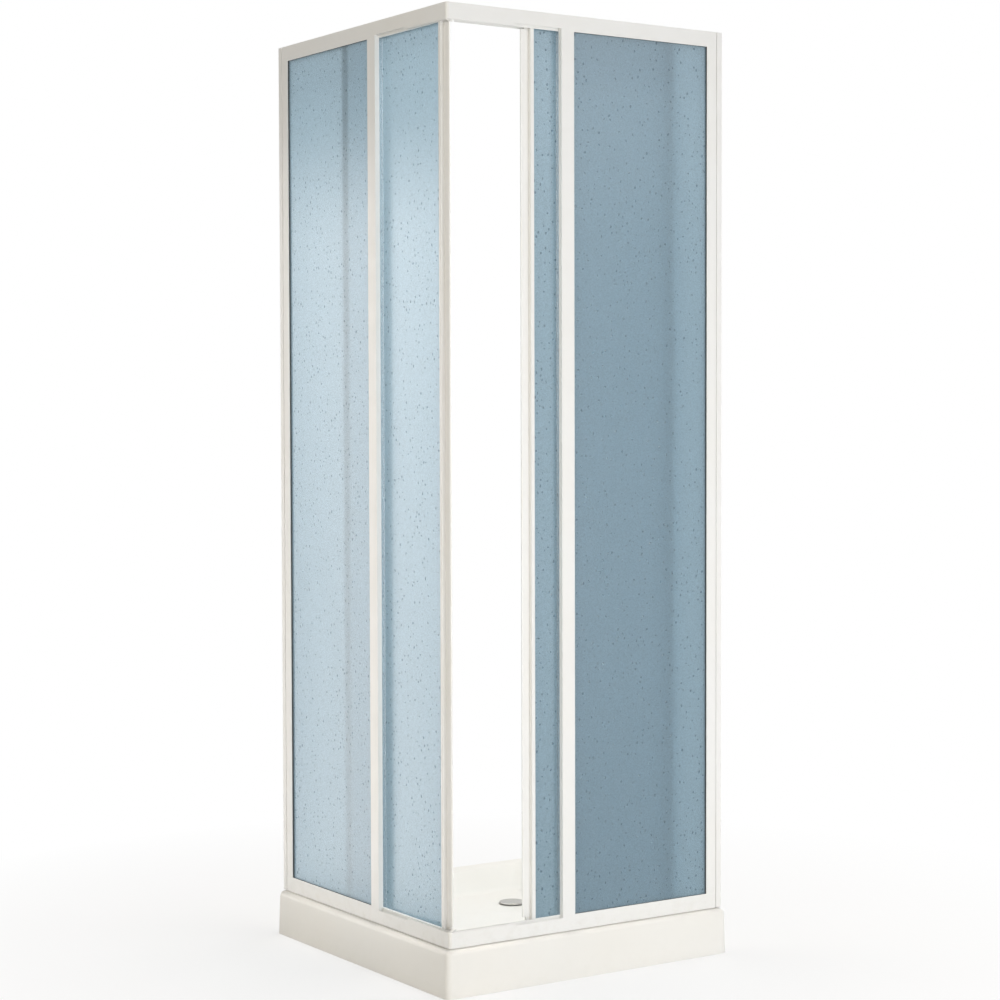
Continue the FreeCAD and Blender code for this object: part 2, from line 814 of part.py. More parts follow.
def middle_stile(side):
    """The stile at the free edge of the fixed panel."""
    profile = [
        ("middle_stile_start", "stile_setback"), ("middle_stile_end", "stile_setback"),
        ("middle_stile_end", "profile_wall"), ("middle_groove", "profile_wall"),
        ("middle_groove", "web_front"), ("middle_stile_end", "web_front"),
        ("middle_stile_end", "stile_back"), ("middle_stile_start", "stile_back"),
    ]
    chamber = [
        ("middle_stile_start + stile_wall", "stile_setback + stile_wall"),
        ("middle_groove - stile_wall", "stile_setback + stile_wall"),
        ("middle_groove - stile_wall", "stile_back - stile_wall"),
        ("middle_stile_start + stile_wall", "stile_back - stile_wall"),
    ]
    return stile_with_spigots(side, profile, chamber, ("middle_stile_start", "middle_groove"))


def jamb_stile(side):
    """The stile at the wall edge of the fixed panel."""
    profile = [
        ("jamb_start", "stile_setback"), ("rail_end", "stile_setback"),
        ("rail_end", "stile_back"), ("jamb_start", "stile_back"),
        ("jamb_start", "web_front"), ("jamb_groove", "web_front"),
        ("jamb_groove", "profile_wall"), ("jamb_start", "profile_wall"),
    ]
    chamber = [
        ("jamb_groove + stile_wall", "stile_setback + stile_wall"),
        ("rail_end - stile_wall", "stile_setback + stile_wall"),
        ("rail_end - stile_wall", "stile_back - stile_wall"),
        ("jamb_groove + stile_wall", "stile_back - stile_wall"),
    ]
    stile = stile_with_spigots(side, profile, chamber, ("jamb_groove", "rail_end"))
    holes = [screw_hole(side, "-along", ("rail_end", "port_depth", level), "stile_wall")
             for level in JAMB_SCREW_LEVELS]
    return cut(stile, *holes)


def fixed_panel(side):
    """The fixed patterned sheet."""
    along = ("middle_stile_end - panel_bite", "jamb_start + panel_bite")
    level = ("sill_top - panel_bite", "header_bottom + panel_bite")
    return block(side, along, ("fixed_front", "fixed_back"), level)


def glazing_gasket(side):
    """The rubber frame that holds the fixed sheet in its channels."""
    deep = ("profile_wall", "web_front")
    whole = block(side, ("middle_groove", "jamb_groove"), deep, ("sill_channel_floor", "header_channel_roof"))
    window = block(side, ("middle_stile_end", "jamb_start"), deep, ("sill_top", "header_bottom"))
    return cut(whole, window, fixed_panel(side))


def wiper_seal(side):
    """The clear soft fin behind the middle stile that brushes the sliding sheet."""
    along = ("middle_stile_start", "middle_stile_start + wiper_thickness")
    deep = ("stile_back", "door_front - wiper_gap")
    level = ("max(sill_top; bottom_rail_top) + wiper_gap", "header_bottom - wiper_gap")
    return block(side, along, deep, level)


def door_stops(side):
    """Rubber blocks in the roller track that the hangers meet at both ends of the door's travel."""
    deep = ("web_back + stop_side_gap", "rear_front - stop_side_gap")
    level = ("lip_top", "lip_top + stop_height")
    reach = "hanger_length / 2 + stop_gap"
    shut = f"closed_start + hanger_margin - ({reach})"
    wide = f"closed_start + door_travel + rear_hanger + {reach}"
    return group([
        block(side, (f"{shut} - stop_length", shut), deep, level),
        block(side, (wide, f"{wide} + stop_length"), deep, level),
    ])


# Fasteners and joints shared by both sides

def post_screws():
    """The screws that hold the rails and jamb stiles to the posts."""
    port_places, sheet_places = post_screw_places()
    screws = []
    for side in SIDES:
        screws += [screw(side, "-along", place, "port_screw_length") for place in port_places]
        screws += [screw(side, "-along", place, "sheet_screw_length") for place in sheet_places]
    return group(screws)


def channel_screws():
    """The screws through the wall channels into the posts, on the inside of the enclosure."""
    return group([screw(side, "-inward", ("channel_screw_line", "rail_depth", level), "sheet_screw_length")
                  for side in SIDES for level in CHANNEL_SCREW_LEVELS])


def screw_caps():
    """Plastic caps over the channel screws."""
    caps = []
    for side in SIDES:
        for level in CHANNEL_SCREW_LEVELS:
            place = ("channel_screw_line", "rail_depth", level)
            outside = rod(side, "inward", place, "screw_head + 2 * (cap_gap + cap_wall)",
                          "screw_head_height + cap_gap + cap_wall")
            inside = rod(side, "inward", place, "screw_head + 2 * cap_gap", "screw_head_height + cap_gap")
            caps.append(cut(outside, inside))
    return group(caps)


def corner_joint(bottom, top, tenon_level):
    """A plastic corner: a slanting plate between the mitred rails, with a tenon into each rail's chamber."""
    plate = [
        ("corner_chamfer", "0"), ("corner_strip", "0"), ("rail_depth", "rail_depth - corner_strip"),
        ("rail_depth", "rail_depth"), ("rail_depth - corner_strip", "rail_depth"),
        ("0", "corner_strip"), ("0", "corner_chamfer"),
    ]
    deep = ("profile_wall + tenon_gap", "web_front - tenon_gap")
    tenons = [block(side, (deep[0], "tenon_length"), deep, tenon_level) for side in SIDES]
    return joined(upright("right", [plate], bottom, top), *tenons)


def header_corner():
    """The corner joint of the headers, with the holes of its screws."""
    level = ("header_channel_roof + profile_wall + tenon_gap", "top - profile_wall - screw_port - tenon_gap")
    joint = corner_joint("header_bottom", "top", level)
    return cut(joint, *[corner_screw_hole(side, "top", "-up") for side in SIDES])


def sill_corner():
    """The corner joint of the sills, with the holes of its screws."""
    level = ("base + profile_wall + screw_port + tenon_gap", "sill_channel_floor - profile_wall - tenon_gap")
    joint = corner_joint("base", "sill_top", level)
    return cut(joint, *[corner_screw_hole(side, "base", "up") for side in SIDES])


def corner_screws():
    """The countersunk screws of both corner joints."""
    entries = (("top", "-up"), ("base", "up"))
    return group([corner_screw(side, level, way) for side in SIDES for level, way in entries])


def sill_seal():
    """The soft strip between the sills and the tray, in one piece round the corner."""
    deep = ("seal_setback", "rail_depth - seal_setback")
    level = ("tray_height", "base")
    return joined(*[block(side, (deep[0], "rail_end"), deep, level) for side in SIDES])


# Sliding door of one side

def on_door(side, distance):
    """A place along the side, from a distance along the door."""
    return f"closed_start + {DOOR_OPENING[side]} + ({distance})"


def door_outline(side, outline):
    return [(on_door(side, along), deep) for along, deep in outline]


def door_block(side, along, deep, level):
    return block(side, (on_door(side, along[0]), on_door(side, along[1])), deep, level)


def door_screw_holes(side, end, way):
    """Holes for the two screws at one edge of the door, long enough for stile and rail."""
    length = "leading_block_width + trailing_block_width + door_screw_grip"
    return [screw_hole(side, way, (on_door(side, end), "door_screw_depth", level), length)
            for level in ("top_screw_level", "bottom_screw_level")]


def leading_stile(side):
    """The closing stile: a proud block that holds the sheet, and a set back strip that carries the seal."""
    profile = [
        ("lead_block", "block_front"), ("lead_end", "block_front"), ("lead_end", "door_groove_front"),
        ("lead_groove", "door_groove_front"), ("lead_groove", "door_groove_back"),
        ("lead_end", "door_groove_back"), ("lead_end", "block_back"), ("lead_block", "block_back"),
    ]
    chamber = [
        ("lead_block + stile_chamber_wall", "block_front + stile_chamber_wall"),
        ("lead_end - stile_chamber_wall", "block_front + stile_chamber_wall"),
        ("lead_end - stile_chamber_wall", "door_groove_front - stile_chamber_wall"),
        ("lead_block + stile_chamber_wall", "door_groove_front - stile_chamber_wall"),
    ]
    strip = [
        ("seal_body", "strip_front"), ("lead_block", "strip_front"), ("lead_block", "strip_back"),
        ("seal_body", "strip_back"), ("seal_body", "tongue_back"), ("seal_body + seal_tongue", "tongue_back"),
        ("seal_body + seal_tongue", "tongue_front"), ("seal_body", "tongue_front"),
    ]
    outlines = [door_outline(side, profile), door_outline(side, chamber)]
    body = upright(side, outlines, "door_bottom", "door_top")
    flange = upright(side, [door_outline(side, strip)], "strip_bottom", "strip_top")
    return cut(joined(body, flange), *door_screw_holes(side, "lead_block", "along"))


def trailing_stile(side):
    """The stile at the door's other edge, with a thin flange."""
    profile = [
        ("trail_end", "block_front"), ("trail_start", "block_front"), ("trail_start", "door_groove_front"),
        ("trail_groove", "door_groove_front"), ("trail_groove", "door_groove_back"),
        ("trail_start", "door_groove_back"), ("trail_start", "block_back"), ("trail_end", "block_back"),
    ]
    chamber = [
        ("trail_start + stile_chamber_wall", "block_front + stile_chamber_wall"),
        ("trail_end - stile_chamber_wall", "block_front + stile_chamber_wall"),
        ("trail_end - stile_chamber_wall", "door_groove_front - stile_chamber_wall"),
        ("trail_start + stile_chamber_wall", "door_groove_front - stile_chamber_wall"),
    ]
    outlines = [door_outline(side, profile), door_outline(side, chamber)]
    body = upright(side, outlines, "door_bottom", "door_top")
    deep = ("strip_front", "strip_front + trailing_flange_thickness")
    flange = door_block(side, ("trail_end", "door_width"), deep, ("strip_bottom", "strip_top"))
    return cut(joined(body, flange), *door_screw_holes(side, "trail_end", "-along"))


def slotted_rail(side, levels, groove_end):
    """A rail between the stiles: an undercut slot on one edge and a groove for the sheet on the other.

    The levels are those of the slot's edge, its lip, its end and the bottom of the groove.
    """
    edge, lip, slot, web = levels
    neck = "slot_neck / 2"
    wide = "slot_width / 2"
    profile = [
        ("door_rail_front", edge), ("door_rail_front", groove_end), ("door_groove_front", groove_end),
        ("door_groove_front", web), ("door_groove_back", web), ("door_groove_back", groove_end),
        ("door_rail_back", groove_end), ("door_rail_back", edge),
        (f"door_plane + {neck}", edge), (f"door_plane + {neck}", lip),
        (f"door_plane + {wide}", lip), (f"door_plane + {wide}", slot),
        (f"door_plane - {wide}", slot), (f"door_plane - {wide}", lip),
        (f"door_plane - {neck}", lip), (f"door_plane - {neck}", edge),
    ]
    body = rail(side, [profile], on_door(side, "lead_end"), on_door(side, "trail_start"))
    holes = door_screw_holes(side, "lead_block", "along") + door_screw_holes(side, "trail_end", "-along")
    return cut(body, *holes)


def door_top_rail(side):
    """The door's upper rail, which hangs on the rollers."""
    levels = ("door_top", "top_slot_roof", "top_slot_floor", "top_groove_roof")
    return slotted_rail(side, levels, "top_rail_bottom")


def door_bottom_rail(side):
    """The door's lower rail, which carries the guide shoes."""
    levels = ("door_bottom", "bottom_slot_floor", "bottom_slot_roof", "bottom_groove_floor")
    return slotted_rail(side, levels, "bottom_rail_top")


def door_panel(side):
    """The sliding patterned sheet."""
    along = ("lead_groove + panel_end_gap", "trail_groove - panel_end_gap")
    return door_block(side, along, ("door_front", "door_back"), ("panel_bottom", "panel_top"))


def magnetic_seal(side):
    """The closing seal, with a slanting face that meets the other door's seal in the corner."""
    profile = [
        ("0", "strip_front"), ("seal_body", "strip_front"), ("seal_body", "tongue_front"),
        ("seal_body + seal_tongue", "tongue_front"), ("seal_body + seal_tongue", "tongue_back"),
        ("seal_body", "tongue_back"), ("seal_body", "strip_back"), ("seal_chamfer", "strip_back"),
        ("0", "strip_back - seal_chamfer"),
    ]
    return upright(side, [door_outline(side, profile)], "strip_bottom", "strip_top")


def stile_caps(side):
    """Plastic caps at both ends of the closing strip."""
    along = ("cap_start", "lead_block")
    deep = ("strip_front + cap_inset", "strip_back - cap_inset")
    return group([
        door_block(side, along, deep, ("strip_top", "strip_top + cap_height")),
        door_block(side, along, deep, ("foot_bottom", "strip_bottom")),
    ])


def centred(middle, size):
    """From and to, for a size about a middle."""
    return f"{middle} - ({size}) / 2", f"{middle} + ({size}) / 2"


def hangers(side):
    """The plates that stand in the top rail's slot and carry the axles."""
    plates = []
    for place in HANGERS.values():
        along = centred(place, "hanger_length")
        foot = door_block(side, along, centred("door_plane", "slot_width - 2 * slot_fit"),
                          ("top_slot_floor", "top_slot_roof - slot_fit"))
        plate = door_block(side, along, centred("door_plane", "hanger_thickness"),
                           ("top_slot_floor", "axle_level + hanger_cheek"))
        plates.append(cut(joined(foot, plate), axle(side, place, "axle_diameter + 2 * press_fit")))
    return group(plates)


def axle(side, place, diameter):
    """A rod across the roller track."""
    start = (on_door(side, place), "door_plane - axle_length / 2", "axle_level")
    return rod(side, "inward", start, diameter, "axle_length")


def axles(side):
    """The pins through the hangers, on which the rollers turn."""
    return group([axle(side, place, "axle_diameter") for place in HANGERS.values()])


def rollers(side, place):
    """The pair of rollers on one axle, one each side of the hanger."""
    pair = []
    for middle in ("door_plane - roller_spread / 2", "door_plane + roller_spread / 2"):
        start = (on_door(side, place), f"{middle} - roller_width / 2", "axle_level")
        wheel = rod(side, "inward", start, "roller_diameter", "roller_width")
        bore = rod(side, "inward", start, "axle_diameter + 2 * axle_fit", "roller_width")
        pair.append(cut(wheel, bore))
    return group(pair)


def guide_shoes(side):
    """Plastic shoes in the bottom rail's slot that straddle the sill's rib."""
    shoes = []
    for place in HANGERS.values():
        along = centred(place, "shoe_length")
        foot = door_block(side, along, centred("door_plane", "slot_width - 2 * slot_fit"),
                          ("bottom_slot_floor + slot_fit", "bottom_slot_roof"))
        neck = door_block(side, along, centred("door_plane", "slot_neck - 2 * slot_fit"),
                          ("shoe_top", "bottom_slot_roof"))
        fork = door_block(side, along, centred("door_plane", "shoe_depth"), ("shoe_bottom", "shoe_top"))
        rib = door_block(side, along, centred("door_plane", "guide_rib_thickness + 2 * shoe_rib_gap"),
                         ("shoe_bottom", "rib_top + shoe_rib_clearance"))
        shoes.append(cut(joined(foot, neck, fork), rib))
    return group(shoes)


def door_screws(side):
    """The screws through the stiles into the ends of the door's rails."""
    levels = ("top_screw_level", "bottom_screw_level")
    front = [screw(side, "along", (on_door(side, "lead_block"), "door_screw_depth", level),
                   "leading_block_width + door_screw_grip") for level in levels]
    rear = [screw(side, "-along", (on_door(side, "trail_end"), "door_screw_depth", level),
                  "trailing_block_width + door_screw_grip") for level in levels]
    return group(front + rear)


# The whole enclosure

SHARED_PIECES = {
    "shower_tray": shower_tray,
    "drain_flange": drain_flange,
    "drain_gasket": drain_gasket,
    "drain_washer": drain_washer,
    "drain_nut": drain_nut,
    "drain_cover": drain_cover,
    "sill_seal": sill_seal,
    "header_corner": header_corner,
    "sill_corner": sill_corner,
    "corner_screws": corner_screws,
    "post_screws": post_screws,
    "channel_screws": channel_screws,
    "screw_caps": screw_caps,
}
SIDE_PIECES = {
    "wall_channel": wall_channel,
    "side_post": side_post,
    "header": header,
    "sill": sill,
    "middle_stile": middle_stile,
    "jamb_stile": jamb_stile,
    "fixed_panel": fixed_panel,
    "glazing_gasket": glazing_gasket,
    "wiper_seal": wiper_seal,
    "door_stops": door_stops,
    "door_panel": door_panel,
    "leading_stile": leading_stile,
    "trailing_stile": trailing_stile,
    "door_top_rail": door_top_rail,
    "door_bottom_rail": door_bottom_rail,
    "magnetic_seal": magnetic_seal,
    "stile_caps": stile_caps,
    "hangers": hangers,
    "axles": axles,
    "guide_shoes": guide_shoes,
    "door_screws": door_screws,
}

for name, make in SHARED_PIECES.items():
    node(name, make())
for side in SIDES:
    for name, make in SIDE_PIECES.items():
        node(f"{side}_{name}", make(side))
    for end, place in HANGERS.items():
        node(f"{side}_{end}_rollers", rollers(side, place))
doc.recompute()

for item in doc.Objects:
    if "Invalid" in item.State or "Error" in item.State:
        raise RuntimeError(f"{item.Label} could not be made")
for piece in nodes:
    if piece.Shape.isNull() or not piece.Shape.isValid() or not piece.Shape.Solids:
        raise RuntimeError(f"{piece.Label} has no sound shape")

os.makedirs("parts", exist_ok=True)
for piece in nodes:
    piece.Shape.exportStep(f"parts/{piece.Label}.step")
    print(piece.Label, len(piece.Shape.Solids), round(piece.Shape.Volume))
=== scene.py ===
"""Corner shower enclosure: finishes of its pieces, the relief of its patterned sheets, and a studio stage.

The file is laid out as an add-on. Property groups hold what a user would change, each operator dresses one
group of like pieces, and main() runs the operators in order. Lengths are in metres.
"""

import json
import math

import bpy
from bpy.props import FloatProperty, FloatVectorProperty, IntProperty, PointerProperty
from mathutils import Matrix, Vector


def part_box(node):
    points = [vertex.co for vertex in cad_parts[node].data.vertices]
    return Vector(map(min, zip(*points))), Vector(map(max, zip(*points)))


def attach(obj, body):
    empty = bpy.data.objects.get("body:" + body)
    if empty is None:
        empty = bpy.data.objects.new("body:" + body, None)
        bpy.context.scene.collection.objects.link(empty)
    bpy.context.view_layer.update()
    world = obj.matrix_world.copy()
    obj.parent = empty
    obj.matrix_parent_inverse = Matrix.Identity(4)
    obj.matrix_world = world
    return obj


bl_info = {
    "name": "Corner Shower Enclosure",
    "version": (1, 0, 0),
    "blender": (4, 5, 0),
    "location": "3D View > Sidebar > Shower",
    "description": "Dresses a corner shower enclosure and sets its studio stage",
    "category": "Object",
}

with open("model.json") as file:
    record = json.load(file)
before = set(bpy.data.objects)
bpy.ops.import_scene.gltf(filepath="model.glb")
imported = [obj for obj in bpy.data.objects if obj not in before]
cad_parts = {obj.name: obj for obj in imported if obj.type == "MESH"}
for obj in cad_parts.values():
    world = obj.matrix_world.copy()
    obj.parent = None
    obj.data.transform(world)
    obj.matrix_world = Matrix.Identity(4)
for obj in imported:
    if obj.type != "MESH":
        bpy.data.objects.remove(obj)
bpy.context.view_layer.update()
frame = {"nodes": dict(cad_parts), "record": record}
NODES = frame["nodes"]
SLOT_OF = {piece["node"]: piece["material_slot"] for piece in frame["record"]["subparts"]}
SIDES = ("left", "right")
# For each side: the way across a sheet seen from outside, and the way out of it
ACROSS = {"left": Vector((0, -1, 0)), "right": Vector((1, 0, 0))}
OUTWARD = {"left": Vector((-1, 0, 0)), "right": Vector((0, -1, 0))}
UP = Vector((0, 0, 1))


# What a user would change

def colour(name, description, default):
    return FloatVectorProperty(name=name, description=description, subtype="COLOR", size=3, min=0, max=1,
                               default=default)


def share(name, description, default):
    return FloatProperty(name=name, description=description, subtype="FACTOR", min=0, max=1,
                         default=default)


def length(name, description, default):
    return FloatProperty(name=name, description=description, subtype="DISTANCE", unit="LENGTH", min=0,
                         default=default)


def power(name, description, default):
    return FloatProperty(name=name, description=description, subtype="POWER", unit="POWER", min=0,
                         default=default)


class ShowerFinishes(bpy.types.PropertyGroup):
    """Colours of the enclosure's finishes."""
    profile: colour("Profiles", "White powder coat of the aluminium profiles", (0.87, 0.87, 0.86))
    plastic: colour("Plastic", "White moulded plastic of joints, caps and shoes", (0.86, 0.855, 0.84))
    roller: colour("Rollers", "Turned plastic of the rollers", (0.78, 0.77, 0.72))
    nut: colour("Waste nut", "Grey plastic of the waste nut", (0.30, 0.31, 0.32))
    seal: colour("Closing seal", "Pale plastic of the closing seals", (0.91, 0.905, 0.89))
    fin: colour("Fins", "Clear soft plastic of the fins behind the middle stiles", (0.93, 0.95, 0.96))
    tray: colour("Tray", "Glaze of the tray", (0.88, 0.87, 0.84))
    rubber: colour("Gaskets", "Dark rubber of gaskets and stops", (0.040, 0.042, 0.045))
    strip: colour("Sill strip", "Grey rubber strip under the sills", (0.62, 0.60, 0.57))
    steel: colour("Steel", "Zinc plated steel of screws, hangers and axles", (0.56, 0.56, 0.57))
    chrome: colour("Waste", "Satin metal of the waste and its cover", (0.45, 0.44, 0.42))


class ShowerSheets(bpy.types.PropertyGroup):
    """Tint and relief of the patterned sheets."""
    tint: colour("Tint", "Colour of light that passes through one sheet", (0.12, 0.17, 0.20))
    cloud: colour("Cloud", "Colour of light that the sheet scatters", (0.50, 0.66, 0.76))
    cloudiness: share("Cloudiness", "Share of light that one face of the sheet scatters", 0.40)
    roughness: share("Roughness", "How far the fine grain blurs what is seen through the sheet", 0.28)
    drop_spacing: length("Drop spacing", "Least distance between two raised drops", 0.008)
    drop_density: FloatProperty(name="Drop density", description="Most raised drops in a square metre",
                                min=0, default=2400)
    drop_width: length("Drop width", "Width of an average drop", 0.0040)
    drop_stretch: FloatProperty(name="Drop stretch", description="Height of a drop beside its width",
                                min=0.5, default=1.25)
    drop_height: length("Drop relief", "How far a drop stands out of its sheet", 0.00045)
    seed: IntProperty(name="Seed", description="Seed of the relief's random places", default=11)


class ShowerStage(bpy.types.PropertyGroup):
    """Camera and light."""
    camera_place: FloatVectorProperty(name="Camera", description="Place of the camera",
                                      subtype="TRANSLATION", unit="LENGTH", size=3,
                                      default=(-2.71205, -4.08473, 1.15636))
    heading: FloatProperty(name="Heading", description="Turn of the camera from +Y towards +X",
                           subtype="ANGLE", unit="ROTATION", default=0.5876)
    tilt: FloatProperty(name="Tilt", description="Tilt of the camera above the horizon", subtype="ANGLE",
                        unit="ROTATION", default=-0.0396)
    roll: FloatProperty(name="Roll", description="Roll of the camera", subtype="ANGLE", unit="ROTATION",
                        default=-0.0027)
    lens: FloatProperty(name="Lens", description="Focal length in millimetres", min=1, default=81.87)
    sky: FloatProperty(name="Sky light", description="Strength of the even light from all round", min=0,
                       default=0.27)
    key: power("Key lamp", "Power of the lamp at the front", 57)
    fill: power("Fill lamp", "Power of the warm lamp at the left", 48)
    rim: power("Rim lamp", "Power of the lamp behind on the right", 70)
    top: power("Top lamp", "Power of the lamp above the open top", 70)
    left_card: power("Left card", "Power of the bright card that the left sheets mirror", 18.5)
    right_card: power("Right card", "Power of the bright card that the right sheets mirror", 18)


# Node trees

# Sockets of a Mix node by number: its factor, its two values and its result
MIX_SOCKETS = {"RGBA": (0, 6, 7, 2), "FLOAT": (0, 2, 3, 0)}
# Levels of a noise between which a patch comes in
PATCH_EDGES = (0.42, 0.68)
SOIL_EDGES = (0.48, 0.72)
# The finer noise that changes the gloss: its scale beside the patches, its levels and the change it makes
FINE_SCALE = 9.0
FINE_EDGES = (0.3, 0.7)
GLOSS_CHANGE = (0.85, 1.18)
# Hard water marks
LIMESCALE = (0.70, 0.68, 0.62)
LIMESCALE_ROUGHNESS = 0.7


class Tree:
    """Writes a node tree one node at a time."""

    def __init__(self, tree):
        self.tree = tree

    def node(self, kind, inputs=None, **settings):
        """Adds a node. Inputs are given by name or number, as plain values or as sockets to link."""
        node = self.tree.nodes.new(kind)
        for name, value in settings.items():
            setattr(node, name, value)
        for name, value in (inputs or {}).items():
            self.feed(node.inputs[name], value)
        return node

    def feed(self, socket, value):
        if isinstance(value, bpy.types.NodeSocket):
            self.tree.links.new(value, socket)
        else:
            socket.default_value = value

    def math(self, operation, first, second=0.0):
        return self.node("ShaderNodeMath", {0: first, 1: second}, operation=operation).outputs[0]

    def noise(self, vector, scale, detail=2.0, roughness=0.5):
        inputs = {"Vector": vector, "Scale": scale, "Detail": detail, "Roughness": roughness}
        return self.node("ShaderNodeTexNoise", inputs).outputs["Fac"]

    def mixed(self, factor, first, second, kind="RGBA"):
        """Mixes two colours, or two numbers."""
        node = self.node("ShaderNodeMix", data_type=kind)
        *inputs, result = MIX_SOCKETS[kind]
        for index, value in zip(inputs, (factor, first, second)):
            self.feed(node.inputs[index], value)
        return node.outputs[result]

    def spread(self, value, low, high, new_low=0.0, new_high=1.0):
        """Maps a range of values onto another and holds it at the ends."""
        inputs = {"Value": value, "From Min": low, "From Max": high, "To Min": new_low, "To Max": new_high}
        return self.node("ShaderNodeMapRange", inputs, clamp=True).outputs[0]


def solid(rgb):
    """A colour socket's value."""
    return (*rgb, 1.0)


def dimmed(rgb, factor):
    return [value * factor for value in rgb]


def toned(rgb, factors):
    """A colour whose red, green and blue are each changed by a factor of their own."""
    return [value * factor for value, factor in zip(rgb, factors)]


def new_group(name, inputs, outputs):
    """A shader node group with named sockets. Returns its tree writer, its inputs and its output node."""
    group = bpy.data.node_groups.new(name, "ShaderNodeTree")
    for title, kind, default in inputs:
        socket = group.interface.new_socket(title, in_out="INPUT", socket_type=f"NodeSocket{kind}")
        if default is not None:
            socket.default_value = default
    for title, kind in outputs:
        group.interface.new_socket(title, in_out="OUTPUT", socket_type=f"NodeSocket{kind}")
    tree = Tree(group)
    return tree, tree.node("NodeGroupInput").outputs, tree.node("NodeGroupOutput")


def mottle_group():
    """Slow patches of a second colour, and a finer change of gloss."""
    tree, given, out = new_group(
        "mottle",
        [("Vector", "Vector", None), ("Colour", "Color", None), ("Patch", "Color", None),
         ("Scale", "Float", 6.0), ("Amount", "Float", 0.3), ("Gloss", "Float", 0.3)],
        [("Colour", "Color"), ("Roughness", "Float")])
    slow = tree.noise(given["Vector"], given["Scale"], detail=4.0, roughness=0.6)
    patches = tree.math("MULTIPLY", tree.spread(slow, *PATCH_EDGES), given["Amount"])
    tree.feed(out.inputs["Colour"], tree.mixed(patches, given["Colour"], given["Patch"]))
    fine = tree.noise(given["Vector"], tree.math("MULTIPLY", given["Scale"], FINE_SCALE), detail=3.0)
    change = tree.spread(fine, *FINE_EDGES, *GLOSS_CHANGE)
    tree.feed(out.inputs["Roughness"], tree.math("MULTIPLY", given["Gloss"], change))
    return tree.tree


def grain_group():
    """Height of a fine surface grain: soft waves with a finer grain on them."""
    tree, given, out = new_group(
        "grain",
        [("Vector", "Vector", None), ("Wave", "Float", 90.0), ("Grain", "Float", 900.0),
         ("Share", "Float", 0.4)],
        [("Height", "Float")])
    wave = tree.noise(given["Vector"], given["Wave"], detail=1.0)
    grain = tree.noise(given["Vector"], given["Grain"], detail=2.0)
    tree.feed(out.inputs["Height"], tree.mixed(given["Share"], wave, grain, kind="FLOAT"))
    return tree.tree


def soil_group():
    """Where hard water and dust settle: low down on the enclosure, in broken patches."""
    tree, given, out = new_group(
        "soil",
        [("Vector", "Vector", None), ("Low", "Float", 0.1), ("High", "Float", 0.4),
         ("Scale", "Float", 40.0)],
        [("Mask", "Float")])
    level = tree.node("ShaderNodeSeparateXYZ", {0: given["Vector"]}).outputs["Z"]
    near_floor = tree.spread(level, given["Low"], given["High"], 1.0, 0.0)
    stains = tree.noise(given["Vector"], given["Scale"], detail=6.0, roughness=0.65)
    broken = tree.spread(stains, *SOIL_EDGES)
    tree.feed(out.inputs["Mask"], tree.math("MULTIPLY", near_floor, broken))
    return tree.tree


def group_node(tree, group, inputs):
    node = tree.node("ShaderNodeGroup", node_tree=group)
    for name, value in inputs.items():
        tree.feed(node.inputs[name], value)
    return node.outputs


def shared_group(name, make):
    """A node group that several materials use, made when it is first asked for."""
    return bpy.data.node_groups.get(name) or make()


def new_material(name):
    """An empty material. Returns it with its tree writer, its Object coordinates and its output node."""
    material = bpy.data.materials.new(name)
    material.use_nodes = True
    material.node_tree.nodes.clear()
    tree = Tree(material.node_tree)
    place = tree.node("ShaderNodeTexCoord").outputs["Object"]
    return material, tree, place, tree.node("ShaderNodeOutputMaterial")


def plain_finish(name, rgb, patch, gloss, metallic=0.0, patch_scale=6.0, patch_amount=0.35, wave=90.0,
                 grain=900.0, grain_share=0.4, relief=0.02, depth=0.0005, sheen=0.5, soil=None):
    """A solid finish: patchy colour and gloss, a fine grain, and hard water marks where asked.

    The marks are given as their share, the level they are strongest at and the level they end at.
    """
    material, tree, place, out = new_material(name)
    mottle = group_node(tree, shared_group("mottle", mottle_group), {
        "Vector": place, "Colour": solid(rgb), "Patch": solid(patch), "Scale": patch_scale,
        "Amount": patch_amount, "Gloss": gloss})
    height = group_node(tree, shared_group("grain", grain_group), {
        "Vector": place, "Wave": wave, "Grain": grain, "Share": grain_share})["Height"]
    bump = tree.node("ShaderNodeBump", {"Strength": relief, "Distance": depth, "Height": height})
    base = mottle["Colour"]
    rough = mottle["Roughness"]
    if soil:
        amount, low, high = soil
        settled = group_node(tree, shared_group("soil", soil_group), {
            "Vector": place, "Low": low, "High": high})["Mask"]
        mask = tree.math("MULTIPLY", settled, amount)
        base = tree.mixed(mask, base, solid(LIMESCALE))
        rough = tree.mixed(mask, rough, LIMESCALE_ROUGHNESS, kind="FLOAT")
    shader = tree.node("ShaderNodeBsdfPrincipled", {
        "Base Color": base, "Roughness": rough, "Metallic": metallic, "Specular IOR Level": sheen,
        "Normal": bump.outputs["Normal"]})
    tree.feed(out.inputs["Surface"], shader.outputs[0])
    return material


def dress(slot, material):
    """Gives a finish to every CAD piece of one of the record's material slots."""
    pieces = [NODES[name] for name, named in SLOT_OF.items() if named == slot]
    if not pieces:
        raise RuntimeError(f"no piece has the finish {slot}")
    for piece in pieces:
        piece.data.materials.clear()
        piece.data.materials.append(material)


# Solid finishes

# Hard water marks on the sills and on the tray: their share, and the levels that they run from and to
SILL_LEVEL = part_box("right_sill")[0].z
SILL_SOIL = (0.35, SILL_LEVEL, SILL_LEVEL + 0.05)
TRAY_SOIL = (0.10, 0.0, 0.08)
